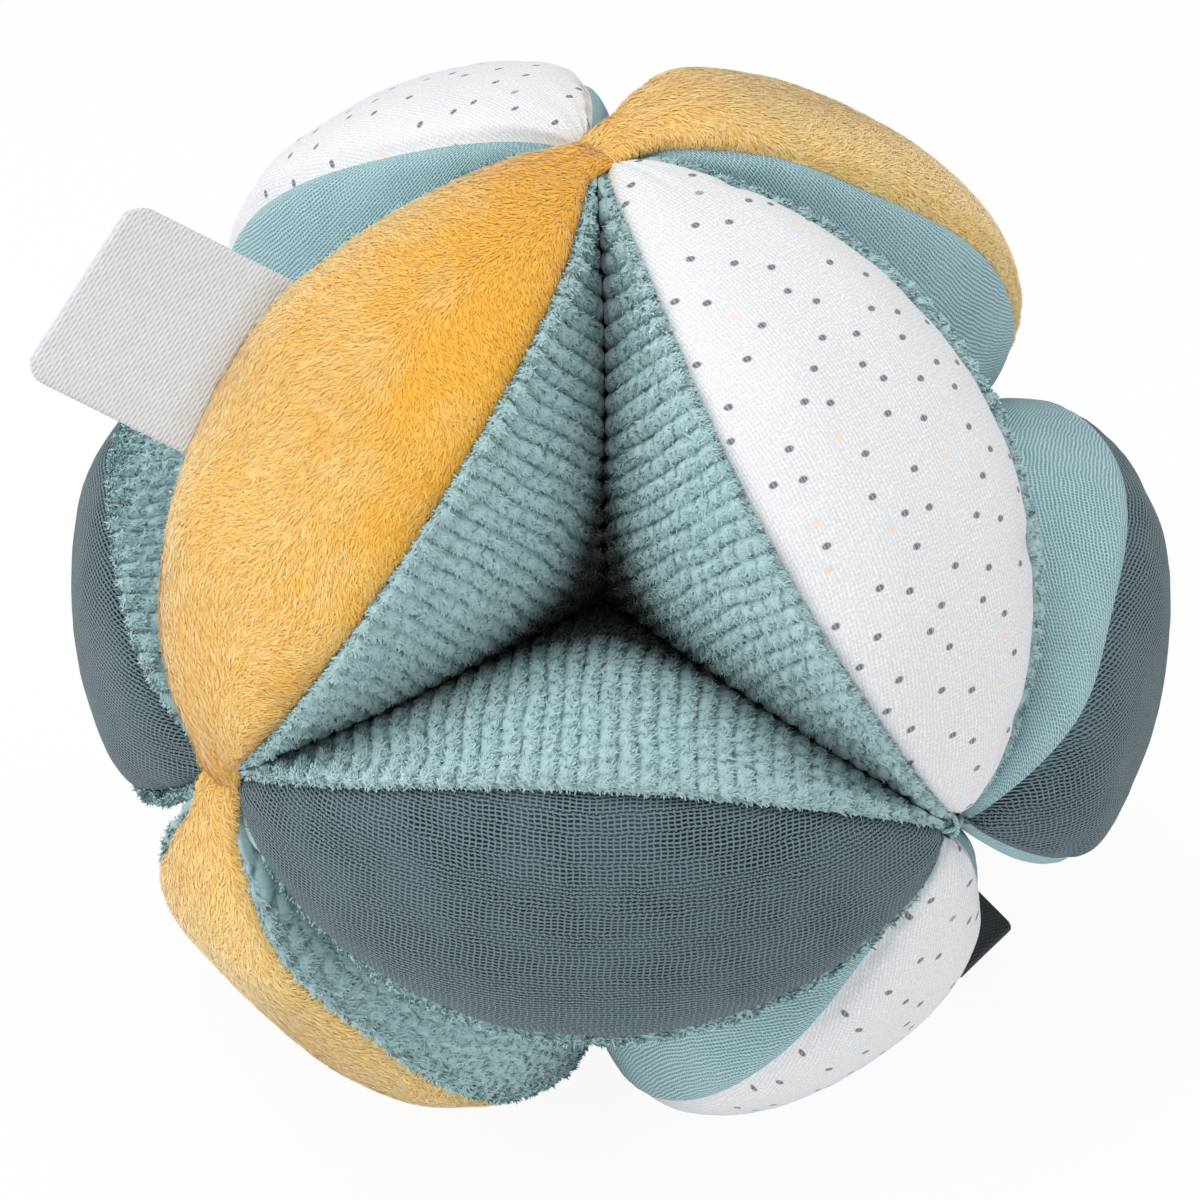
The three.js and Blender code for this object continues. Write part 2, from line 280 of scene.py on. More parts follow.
true_lens, true_side = pod_grids(1.0, 1.0)
slack_lens, slack_side = pod_grids(SLACK_CROWN, SLACK_BULGE)
swollen = []
bags = []
for number, pod in enumerate(PODS):
    hills = smooth_noise(slack_lens[..., 1] / 9 + 31, slack_lens[..., 2] / 7 + 17, 40 + number)
    dented = slack_lens * (1 + DENT * hills[..., None])
    dented[:, [0, -1]] = slack_lens[:, [0, -1]]
    dented[[0, -1]] = slack_lens[[0, -1]]
    bags.append(bag_mesh(f"bag_{number}", dented, slack_side))
for points in pumped_up(bags):
    around = SIM_LENS + SIM_SIDE - 2
    rings = points[:-2].reshape(SIM_ROWS - 2, around, 3)
    lens, side = true_lens.copy(), true_side.copy()
    lens[1:-1] = rings[:, :SIM_LENS]
    side[1:-1, 1:-1] = rings[:, SIM_LENS:]
    capped = []
    for shape, true in ((lens, true_lens), (side, true_side)):
        move = shape - true
        size = np.linalg.norm(move, axis=-1, keepdims=True)
        capped.append(true + move * np.minimum(1, SWELL_CAP / np.maximum(size, 1e-9)))
    swollen.append(capped)
middle = SIM_ROWS // 2, SIM_LENS // 2
crowns = [round(float(lens[middle][0]), 2) for lens, side in swollen]
print("crowns after swelling, mm:", crowns)

# %% [markdown]
# ## From a coarse bag to fine cloth
# The simulated bags are coarse grids, so they are drawn out with a smooth spline through their points
# to as many rows and columns as the cloth's own detail needs. Two maps go with each grid: one in
# millimetres of cloth, which weaves and prints are measured in, and one that fills a square.

# %% Splines, normals and meshes
def spline(grid, at, axis):
    """Smooth values between the rows of a grid, along one axis."""
    grid = np.moveaxis(grid, axis, 0)
    last = len(grid) - 1
    i = np.clip(np.floor(at).astype(int), 0, last - 1)
    f = (at - i).reshape(-1, *[1] * (grid.ndim - 1))
    p, q, r, s = [grid[np.clip(i + k, 0, last)] for k in (-1, 0, 1, 2)]
    value = q + 0.5 * f * (r - p + f * (2 * p - 5 * q + 4 * r - s + f * (3 * (q - r) + s - p)))
    return np.moveaxis(value, 0, axis)


def drawn_out(grid, rows, columns):
    """A finer grid, even in angle along the pod and in share across it."""
    angle = np.linspace(-0.996, 0.996, rows)
    along = (np.arcsin(angle) / (math.pi / 2) + 1) / 2 * (len(grid) - 1)
    across = np.linspace(0, grid.shape[1] - 1, columns)
    return spline(spline(grid, along, 0), across, 1), angle * HALF_SPAN


def unit(vectors):
    return vectors / np.maximum(np.linalg.norm(vectors, axis=-1, keepdims=True), 1e-12)


def grid_normals(grid):
    """Outward normals of a grid whose rows run along Y and whose columns run from -Z to Z outside."""
    return unit(np.cross(np.gradient(grid, axis=0), np.gradient(grid, axis=1)))


def grid_quads(rows, columns):
    corner = np.arange(rows * columns).reshape(rows, columns)
    ring = [corner[:-1, :-1], corner[1:, :-1], corner[1:, 1:], corner[:-1, 1:]]
    return np.stack([c.ravel() for c in ring], axis=1)


def from_middle(grid, axis):
    """Millimetres along the cloth from its middle row or column."""
    steps = np.linalg.norm(np.diff(grid, axis=axis), axis=-1)
    length = np.insert(np.cumsum(steps, axis=axis), 0, 0.0, axis=axis)
    return length - np.take(length, [grid.shape[axis] // 2], axis=axis)


def cloth_map(grid):
    """Millimetres of cloth, along the pod and across it."""
    return np.stack([from_middle(grid, 0), from_middle(grid, 1)], axis=-1)


def square_map(rows, columns):
    u, v = np.meshgrid(np.linspace(0.01, 0.99, rows), np.linspace(0.01, 0.99, columns), indexing="ij")
    return np.stack([u, v], axis=-1)


def new_piece(name, points, faces, maps, materials, values=None, normals=None):
    """A mesh object from arrays: points in metres, faces as arrays of equal-sided polygons."""
    mesh = bpy.data.meshes.new(name)
    points = points.reshape(-1, 3)
    corners = np.concatenate([f.ravel() for f in faces]).astype(np.int32)
    sides = np.concatenate([np.full(len(f), f.shape[1]) for f in faces])
    mesh.vertices.add(len(points))
    mesh.vertices.foreach_set("co", np.ascontiguousarray(points, dtype=np.float32).ravel())
    mesh.loops.add(len(corners))
    mesh.loops.foreach_set("vertex_index", corners)
    mesh.polygons.add(len(sides))
    starts = np.concatenate([[0], np.cumsum(sides)[:-1]]).astype(np.int32)
    mesh.polygons.foreach_set("loop_start", starts)
    mesh.polygons.foreach_set("use_smooth", np.ones(len(sides), bool))
    for map_name, coordinates in maps.items():
        layer = mesh.uv_layers.new(name=map_name)
        flat = coordinates.reshape(-1, 2)[corners]
        layer.uv.foreach_set("vector", flat.astype(np.float32).ravel())
    for value_name, numbers in (values or {}).items():
        attribute = mesh.attributes.new(value_name, "FLOAT", "POINT")
        attribute.data.foreach_set("value", numbers.astype(np.float32))
    mesh.update(calc_edges=True)
    if normals is not None:
        mesh.normals_split_custom_set_from_vertices(normals)
    for material in materials:
        mesh.materials.append(material)
    return linked(name, mesh)


print("fine grids follow", len(swollen), "bags of", SIM_ROWS, "rows")

# %% [markdown]
# ## Woven cloth as a material
# Muslin is a loose plain weave of soft thread, about twenty threads to the centimetre. The nodes draw
# it in millimetres of cloth: one row of threads along the pod, one across it, and dark openings
# between them, which are longer along the pod. The rows are shifted at random so that no machine
# pattern shows, and the same threads lift the bump.

# %% A small kit for nodes
class Value:
    """An output in a node tree. Arithmetic with it adds math nodes, so formulas read as they should."""

    def __init__(self, tree, socket):
        self.tree, self.socket = tree, socket

    def output(self, key):
        """Another output of the same node."""
        return Value(self.tree, self.socket.node.outputs[key])

    def maths(self, operation, *others):
        return node(self.tree, "ShaderNodeMath", dict(enumerate((self, *others))), operation=operation)

    def __add__(self, other):
        return self.maths("ADD", other)

    def __sub__(self, other):
        return self.maths("SUBTRACT", other)

    def __rsub__(self, other):
        return self * -1.0 + other

    def __mul__(self, other):
        return self.maths("MULTIPLY", other)

    def __truediv__(self, other):
        return self.maths("DIVIDE", other)

    def ramp(self, low, high, to_low=0.0, to_high=1.0):
        """This value, carried smoothly from one range to another."""
        inputs = {"Value": self, "From Min": low, "From Max": high, "To Min": to_low, "To Max": to_high}
        return node(self.tree, "ShaderNodeMapRange", inputs, interpolation_type="SMOOTHSTEP")

    def mix(self, first, second):
        """Two colours, mixed by this value."""
        return node(self.tree, "ShaderNodeMix", {0: self, 6: first, 7: second}, 2, data_type="RGBA")


def set_inputs(tree, made, inputs):
    for key, given in inputs.items():
        if isinstance(given, Value):
            tree.links.new(given.socket, made.inputs[key])
        else:
            made.inputs[key].default_value = given


def node(tree, kind, inputs, output=0, **settings):
    """Add a node, link or set its inputs, and hand back one of its outputs."""
    made = tree.nodes.new(kind)
    for key, setting in settings.items():
        setattr(made, key, setting)
    set_inputs(tree, made, inputs)
    return Value(tree, made.outputs[output])


def new_cloth(name):
    """A material, and the place on its cloth in millimetres."""
    material = bpy.data.materials.new(name)
    material.use_nodes = True
    return material, node(material.node_tree, "ShaderNodeUVMap", {}, uv_map="Cloth")


def along_and_across(place):
    along = node(place.tree, "ShaderNodeSeparateXYZ", {0: place}, "X")
    return along, along.output("Y")


def stretched(place, scale, turn=0.0):
    inputs = {"Vector": place, "Rotation": (0, 0, turn), "Scale": (*scale, 1)}
    return node(place.tree, "ShaderNodeMapping", inputs)


def soft_noise(place, scale, detail=2.0):
    inputs = {"Vector": place, "Scale": scale, "Detail": detail}
    return node(place.tree, "ShaderNodeTexNoise", inputs, noise_dimensions="2D")


def scaled(colour, share):
    return node(share.tree, "ShaderNodeVectorMath", {0: colour, "Scale": share}, operation="SCALE")


def linear(red, green, blue):
    """A colour as a screen shows it, from 0 to 255, as the light that a shader works with."""
    shares = [v / 255 for v in (red, green, blue)]
    light = [s / 12.92 if s <= 0.04045 else ((s + 0.055) / 1.055) ** 2.4 for s in shares]
    return (*light, 1.0)


def finished(material, colour, inputs, height=None, strength=0.5, distance=0.0):
    """Give a material's shader its colour, its bump and its other inputs."""
    tree = material.node_tree
    inputs = {"Base Color": colour, **inputs}
    if height is not None:
        bump = {"Strength": strength, "Distance": distance, "Height": height}
        inputs["Normal"] = node(tree, "ShaderNodeBump", bump)
    set_inputs(tree, tree.nodes["Principled BSDF"], inputs)
    return material


def dotted(place, colour, soak):
    """A scatter of small dots, printed in grey and now and then in beige."""
    inputs = {"Vector": stretched(place, (1, 0.72), 0.7), "Scale": 0.24, "Randomness": 0.66}
    away = node(place.tree, "ShaderNodeTexVoronoi", inputs, "Distance", voronoi_dimensions="2D")
    pick = node(place.tree, "ShaderNodeSeparateColor", {0: away.output("Color")})
    beige = pick.ramp(0.20, 0.21, 1.0, 0.0)
    ink = beige.mix(linear(112, 116, 122), linear(238, 220, 202))
    return (away.ramp(0.065, 0.115, 1.0, 0.0) * soak).mix(colour, ink)


def muslin(name, thread, opening, along, across, open_share, relief, printed=False):
    material, place = new_cloth(name)
    u, v = along_and_across(place)
    rows = v / across + soft_noise(place, 0.35) * 1.2
    shift = node(place.tree, "ShaderNodeTexWhiteNoise", {"W": rows.maths("FLOOR")}, noise_dimensions="1D")
    threads = u / along + shift * 0.55
    beside, between = [(count * math.pi).maths("SINE").maths("ABSOLUTE") for count in (rows, threads)]
    opened = beside.ramp(0.64, 0.96, 1.0, 0.0) * between.ramp(0.15, 0.55)
    dark = opened * open_share * soft_noise(place, 0.12).ramp(0.3, 0.7, 0.82, 1.0)
    fibre = soft_noise(place, 2.6, 4.0).ramp(0.3, 0.75, 0.86, 1.06)
    colour = dark.mix(scaled(thread[:3], fibre), opening)
    if printed:
        colour = dotted(place, colour, beside.ramp(0.1, 0.6, 0.55, 1.0))
    height = (1.0 - between).maths("MAXIMUM", beside) - opened * 0.6
    matt = {"Roughness": 0.92, "Specular IOR Level": 0.15, "Sheen Weight": 0.15, "Sheen Roughness": 0.5}
    return finished(material, colour, matt, height, relief, 0.00012)


CLOTHS = {
    "slate_muslin": muslin("slate_muslin", thread=linear(112, 134, 141), opening=linear(10, 22, 27),
                           along=0.72, across=0.46, open_share=1.0, relief=0.5),
    "teal_muslin": muslin("teal_muslin", thread=linear(186, 217, 223), opening=linear(74, 124, 132),
                          along=0.52, across=0.5, open_share=0.85, relief=0.5),
    "white_muslin": muslin("white_muslin", thread=linear(240, 241, 243), opening=linear(208, 211, 217),
                           along=0.5, across=0.46, open_share=0.75, relief=0.15, printed=True),
}
print("woven cloths:", sorted(CLOTHS))

# %% [markdown]
# ## Pile as a material
# Plush and chenille are seen as thousands of fibres, so their fibres are real geometry further down.
# Their materials colour the fibres and the cloth below alike, from numbers that the mesh carries: how
# far along a fibre a point is, where the feet take painted shade; how pale that lock is, at random and
# with painted sheen on some panels; whether the nap is turned there, which shows a deeper colour that
# is painted shade where the pile tilts; and which rib and tuft it belongs to. Between ribs and tufts
# the chenille gets painted shade in its grooves.

# %% Plush and chenille
def carried(place, name):
    """A number that the mesh carries at each point."""
    return node(place.tree, "ShaderNodeAttribute", {}, "Fac", attribute_name=name)


def soft_shine(sheen, tint):
    return {"Roughness": 0.85, "Specular IOR Level": 0.12, "Sheen Weight": sheen, "Sheen Roughness": 0.45,
            "Sheen Tint": tint}


def patchy(place, body, patch):
    return soft_noise(place, 0.075, 3.0).ramp(0.38, 0.66).mix(body, patch)


def plush(name, root, body, tip, patch, turned):
    material, place = new_cloth(name)
    reach = carried(place, "reach")
    # Painted shade: the feet of the pile and the cloth below take the darker root colour, as the shade down
    # between the fibres.
    low = reach.ramp(0.0, 0.55).mix(root, patchy(place, body, patch))
    # Towards the pale tip colour: further along a blade, at random from lock to lock, and with painted
    # sheen where the mesh carries it in the shade value.
    full = (reach + carried(place, "shade")).ramp(0.65, 1.5).mix(low, tip)
    # Painted shade: where the nap is turned the colour deepens, as shade where the pile tilts.
    full = carried(place, "turned").mix(full, turned)
    grain = soft_noise(stretched(place, (1.1, 2.2)), 1.0, 2.0).ramp(0.3, 0.7, 0.92, 1.05)
    shine = soft_shine(1.0, linear(255, 240, 208))
    return finished(material, scaled(full, grain), shine, grain, 0.5, 0.003)


def chenille(name, body, patch, tip, groove_shade_colour, pocket_shade_colour):
    """Tufts in ribs. The mesh counts ribs and tufts, and painted shade darkens the grooves half way
    between.
    """
    material, place = new_cloth(name)
    counts = [carried(place, key) for key in ("rib", "tuft")]
    rib, tuft = [((count - count.maths("ROUND")) * math.pi).maths("COSINE") for count in counts]
    # Painted shade: dark in the grooves between ribs and between tufts, broken up by noise.
    groove_shade_mask = rib.ramp(0.05, 0.5, 1.0, 0.0).maths("MAXIMUM", tuft.ramp(0.05, 0.45, 0.75, 0.0))
    groove_shade_mask = groove_shade_mask * soft_noise(place, 0.45, 2.0).ramp(0.38, 0.64, 0.12, 1.0)
    streaks = soft_noise(stretched(place, (2.4, 0.8), 0.5), 1.0, 3.0).ramp(0.3, 0.7, 0.91, 1.05)
    # Painted shade: the locks are paler at their tips than at their feet, as the shade down in the pile.
    lit = scaled((carried(place, "reach") * 0.6).mix(patchy(place, body, patch), tip), streaks)
    # Painted shade: the cloth deep between two pods is darkened towards the near black pocket colour.
    full = (carried(place, "painted_pocket_shade") * 0.85).mix((groove_shade_mask * 0.68).mix(lit, groove_shade_colour), pocket_shade_colour)
    height = rib.maths("SQRT") * tuft.maths("SQRT") + streaks * 0.5
    return finished(material, full, soft_shine(0.3, linear(230, 244, 244)), height, 0.5, 0.0004)


CLOTHS["ochre_plush"] = plush("ochre_plush", root=linear(243, 185, 88), body=linear(247, 202, 111),
                              tip=linear(252, 224, 158), patch=linear(247, 195, 94),
                              turned=linear(252, 190, 66))
CLOTHS["teal_chenille"] = chenille("teal_chenille", body=linear(178, 209, 211), patch=linear(171, 204, 207),
                                   tip=linear(194, 221, 223), groove_shade_colour=linear(64, 92, 95),
                                   pocket_shade_colour=linear(16, 27, 29))
print("piled cloths: ochre_plush, teal_chenille")

# %% [markdown]
# ## Seams, puckers and creases
# Where two cloths are sewn together both roll in towards the thread, and the seam shows as a thin
# dark line. Beside it the cloth puckers, because more of it was eased in than the seam is long, and
# at the tips all that cloth is gathered into folds. These forms are smaller than the simulated grid,
# so they are added to the fine grid as small moves along its normals. The pods are also stuffed by
# hand, so no two are alike: some are fuller in the middle or at a tip, and some lean to a side. Two
# corners were tacked a little off their places, and all the cloth near them goes along.

# %% Sewn detail
LOWER = {row[0] for row in PODS if "bottom" in row}
FLOOR_SIDE = np.array([SQUARE, SQUARE, 0.0])
FLOOR_REACH = 1000 * CENTRE[2]
SEAM_DEPTH, SEAM_REACH = 0.9, 0.9  # mm
DEEP_SWELL, SHOULDER_SWELL = 4.5, 1.8  # mm
TIP_PLACE, TIP_SPREAD = 0.72, 0.22
PULLED = {"top": (-2.6, 2.7, 1.5), "front_left": (-0.4, 0.0, 2.8)}  # mm
PULL_REACH = 16.0  # mm


def placed(points, axes):
    """Millimetres in a pod's axes to metres in the frame, with two corners tacked a little off."""
    turned = points @ axes.T
    moved = turned.copy()
    for corner, pull in PULLED.items():
        apart = turned - TIP_RADIUS * np.array(CORNERS[corner])
        near = np.exp(-(apart**2).sum(axis=-1, keepdims=True) / PULL_REACH**2)
        moved += near * np.array(pull)
    return CENTRE + MM * moved


def rolled_in(grid, edge, depth, reach):
    """Both cloths roll into the seam: `edge` is the distance from it in millimetres."""
    outward = unit(np.stack([grid[..., 0], grid[..., 1], np.zeros(grid.shape[:-1])], axis=-1))
    outward = outward + np.sign(grid[..., 2:]) * np.array([0, 0, 1.0])
    return grid - unit(outward) * (depth * bell(edge / reach))[..., None]


def off_seam(edge):
    return 1 - bell(edge / SEAM_REACH)


def puckered(grid, normals, edge, amount, seed):
    along, side = grid[..., 1], np.sign(grid[..., 2])
    fine = smooth_noise(along / 1.9 + 40 + 20 * side, edge / 5.0 + 7, seed)
    wide = smooth_noise(along / 4.6 + 40 + 20 * side, edge / 9.0 + 3, seed + 1)
    height = 0.6 * fine * np.exp(-edge / 2.6) + 0.8 * wide * np.exp(-edge / 5.5)
    return grid + normals * (amount * height * off_seam(edge))[..., None]


def gathered(grid, normals, edge, angle, across, amount, seed):
    """Folds that run out of the tips."""
    near_tip = np.clip((np.abs(angle) / HALF_SPAN - 0.6) / 0.4, 0, 1)[:, None] ** 1.5
    folds = smooth_noise(across[None, :] * 5.5 + 33, np.sign(angle)[:, None] * 3 + 8.5, seed)
    return grid + normals * (amount * near_tip * folds * off_seam(edge))[..., None]


def off_the_floor(points, pod):
    """The four lower pods are pressed flat where the ball stands."""
    if pod not in LOWER:
        return points
    over = np.maximum(points @ FLOOR_SIDE - FLOOR_REACH, 0)
    return points - over[..., None] * FLOOR_SIDE


# Millimetres more in the middle, at the first tip and at the second, and a lean to one side.
STUFFED = {
    "right": (2.5, 2.6, 0.8, -1.4),
    "left": (0.2, 0.0, 1.0, 1.2),
    "upper_back_left": (1.8, 0.6, 0.0, 0.0),
    "upper_back_right": (-0.1, 2.1, 0.3, 0.0),
    "lower_front_left": (0.0, 3.0, 0.8, 2.0),
    "lower_front_right": (-0.6, -1.2, 0.6, -4.1),
}


def hand_stuffed(grid, angle, pod, share):
    """No two pods are filled alike: more in the middle or at a tip, and one leans to a side."""
    middle, first, second, lean = STUFFED.get(pod, (0.0, 0.0, 0.0, 0.0))
    place = angle / HALF_SPAN
    full = np.maximum(np.cos(math.pi / 2 * place), 0)
    growth = middle * full**0.5
    for amount, tip in ((first, -TIP_PLACE), (second, TIP_PLACE)):
        growth = growth + amount * bell((place - tip) / TIP_SPREAD)
    growth = growth[:, None] * share
    outward = np.stack([np.cos(angle), np.sin(angle), 0 * angle], axis=-1)[:, None]
    grown = grid + outward * growth[..., None]
    grown[..., 2] += 0.03 * growth * grid[..., 2] + lean * full[:, None] * share
    return grown


def lens_grid(number, rows, columns, puckers, crinkle):
    pod = PODS[number][0]
    grid, angle = drawn_out(swollen[number][0], rows, columns)
    across = np.linspace(-1, 1, columns)
    grid = hand_stuffed(grid, angle, pod, np.ones((1, columns)))
    half_width = section(angle)[4][:, None]
    edge = (1 - np.abs(across))[None, :] * half_width
    normals = grid_normals(grid)
    grid = puckered(grid, normals, edge, puckers, 100 + number)
    grid = gathered(grid, normals, edge, angle, across, 2.5 * puckers, 200 + number)
    hills = smooth_noise(grid[..., 1] / 2.3 + 50, grid[..., 2] / 1.7 + 50, 300 + number)
    grid = grid + normals * (crinkle * hills * off_seam(edge))[..., None]
    return off_the_floor(rolled_in(grid, edge, SEAM_DEPTH, 1.0), pod)


def side_grid(number, rows, columns, puckers, crinkle, roll):
    pod = PODS[number][0]
    grid, angle = drawn_out(swollen[number][1], rows, columns)
    across = np.linspace(1, -1, columns)
    fullness, crown, seam, keel, half_width = section(angle)
    edge = (1 - np.abs(across))[None, :] * (seam - keel)[:, None]
    rise = np.abs(across)[None, :]
    grid = hand_stuffed(grid, angle, pod, rise)
    deep = DEEP_SWELL * bell((rise - 0.17) / 0.12) * fullness[:, None]
    below_seam = SHOULDER_SWELL * np.clip(5 * (1 - rise), 0, 1) * np.clip(rise / 0.6, 0, 1) ** 2
    shoulder = below_seam * fullness[:, None] ** BULGE_TAPER
    grid[..., 2] += np.sign(across) * (deep + shoulder)
    gap = 0.005 + 0.015 * fullness[:, None]
    grid = softly_apart(grid, gap, 0.02 + 0.6 * fullness[:, None])
    normals = grid_normals(grid)
    grid = puckered(grid, normals, edge, puckers, 400 + number)
    hills = smooth_noise(grid[..., 1] / 2.3 + 50, edge / 1.9 + 50, 500 + number)
    grid = grid + normals * (crinkle * hills * off_seam(edge))[..., None]
    grid = kept_apart(rolled_in(grid, edge, SEAM_DEPTH, roll), gap)
    return off_the_floor(grid, pod), edge


print("pods stuffed by hand:", sorted(STUFFED), "pods on the floor:", len(LOWER))

# %% [markdown]
# ## Muslin panels
# The white and slate outer panels and half of the side panels are muslin. A grid with a step of about
# half a millimetre is fine enough for the puckers and the soft crinkle of washed muslin, and the
# weave itself is left to the material.

# %% White, slate and light teal muslin
MUSLIN_LENS, MUSLIN_SIDE = (181, 69), (161, 141)  # rows and columns
pieces = {}


def woven_piece(name, grid, axes, material):
    size = grid.shape[:2]
    maps = {"Cloth": cloth_map(grid), "OFBake": square_map(*size)}
    return new_piece(name, placed(grid, axes), [grid_quads(*size)], maps, [material])


for number, (pod, first, second, outer, sides) in enumerate(PODS):
    axes = pod_axes(first, second)
    if outer.endswith("muslin"):
        grid = lens_grid(number, *MUSLIN_LENS, puckers=0.14, crinkle=0.05)
        pieces[pod, "outer"] = woven_piece(f"{pod}_outer_cloth", grid, axes, CLOTHS[outer])
    if sides.endswith("muslin"):
        grid = side_grid(number, *MUSLIN_SIDE, puckers=0.16, crinkle=0.07, roll=1.0)[0]
        pieces[pod, "side"] = woven_piece(f"{pod}_side_cloth", grid, axes, CLOTHS[sides])
print("muslin pieces:", len(pieces))

# %% [markdown]
# ## Fibres
# A fibre, or rather a lock of fibres, is a blade of four points: a wide foot and a narrow tip. Tens of
# thousands of them are laid out at once with arrays. Locks near each other lean the same way, which is
# the nap, and they bunch together a little, as stroked plush does.

# %% Blades of pile
BLADE_TIP = 0.35  # of the foot's width


def scattered(grid, density, count, seed):
    """Random places on a grid, even over its area times a density for each cell."""
    sides = np.diff(grid, axis=0)[:, :-1], np.diff(grid, axis=1)[:-1]
    area = np.linalg.norm(np.cross(*sides), axis=-1) * density
    chance = (area / area.sum()).ravel()
    random = np.random.default_rng(seed)
    cell = random.choice(len(chance), count, p=chance)
    row, column = np.divmod(cell, grid.shape[1] - 1)
    return row + random.random(count), column + random.random(count), random


def sampled(grid, row, column):
    i, j = row.astype(int), column.astype(int)
    f, g = (row - i)[:, None], (column - j)[:, None]
    flat = grid.reshape(*grid.shape[:2], -1)
    low = (1 - g) * flat[i, j] + g * flat[i, j + 1]
    high = (1 - g) * flat[i + 1, j] + g * flat[i + 1, j + 1]
    return (1 - f) * low + f * high


def blades(root, normal, lean, length, width, roll):
    """Four points a blade, two at the foot and two at the tip, and the normals that shade them."""
    side = unit(np.cross(lean, normal))
    side = unit(side * np.cos(roll)[:, None] + np.cross(lean, side) * np.sin(roll)[:, None])
    side *= np.sign((np.cross(side, lean) * normal).sum(axis=-1, keepdims=True))
    half = side * (width / 2)[:, None]
    tip = root + lean * length[:, None]
    points = np.stack([root - half, root + half, tip + BLADE_TIP * half, tip - BLADE_TIP * half], axis=1)
    shading = unit(normal + 0.2 * np.cross(side, lean))
    return points, np.repeat(shading[:, None], 4, axis=1)


def piled_piece(name, grid, axes, material, points, shading, places, values):
    """The backing cloth and its blades as one mesh. Each value is given on the grid and on the blades."""
    rows, columns = grid.shape[:2]
    feet = rows * columns + 4 * np.arange(len(points))[:, None]
    maps = {}
    for map_name, flat in (("Cloth", cloth_map(grid)), ("OFBake", square_map(rows, columns))):
        at_feet = np.repeat(sampled(flat, *places), 4, axis=0)
        maps[map_name] = np.concatenate([flat.reshape(-1, 2), at_feet])
    numbers = {key: np.concatenate([part.ravel() for part in pair]) for key, pair in values.items()}
    everything = np.concatenate([grid.reshape(-1, 3), points.reshape(-1, 3)])
    normals = np.concatenate([grid_normals(grid).reshape(-1, 3), shading.reshape(-1, 3)])
    return new_piece(name, placed(everything, axes), [grid_quads(rows, columns), feet + np.arange(4)], maps,
                     [material], numbers, normals @ axes.T)


def on_blades(grid_value, places):
    return np.repeat(sampled(grid_value[..., None], *places), 4, axis=1)


print("a blade's tip is", BLADE_TIP, "as wide as its foot")

# %% [markdown]
# ## Plush panels
# The ochre plush has a dense, short pile that lies nearly flat, about a millimetre long. Its nap runs
# along the pod and wanders in slow swirls. Each blade is shaded a little off its true direction, which
# makes the surface glimmer as pile does. On the front left panel a hand has turned the nap over part of
# the cloth, and there the colour is painted deeper, as shade where the pile tilts; the other panels get
# this painted shade near their first tip. Painted sheen makes the other panels and the left edge of the
# front left panel paler. The tips of the panels are blunt and meet over the tack.

# %% Ochre plush
PLUSH_BLADES, PLUSH_GRID = 64000, (121, 45)
PLUSH_LENGTH, PLUSH_WIDTH, PLUSH_LIFT = 0.9, 0.15, 0.6  # mm
TIP_STRETCH, TIP_REACH, TIP_WIDER = 1.0, 1.6, 3.2  # mm


def blunt_tips(grid):
    """The last millimetres of the plush widen and reach over the tack, tip to tip."""
    rows, columns = grid.shape[:2]
    share = np.clip((np.abs(np.linspace(-1, 1, rows)) - 0.9) / 0.1, 0, 1)[:, None] ** 1.5
    moved = grid.copy()
    moved[..., 0] += share * (TIP_STRETCH - SQUARE * TIP_REACH)
    moved[..., 1] += share * (TIP_STRETCH + SQUARE * TIP_REACH) * np.sign(grid[..., 1])
    moved[..., 2] += share * TIP_WIDER * np.linspace(-1, 1, columns)[None, :]
    return moved


def tangent_frame(normal):
    along = unit(np.array([0, 1.0, 0]) - normal * normal[:, 1:2])
    return along, np.cross(normal, along)


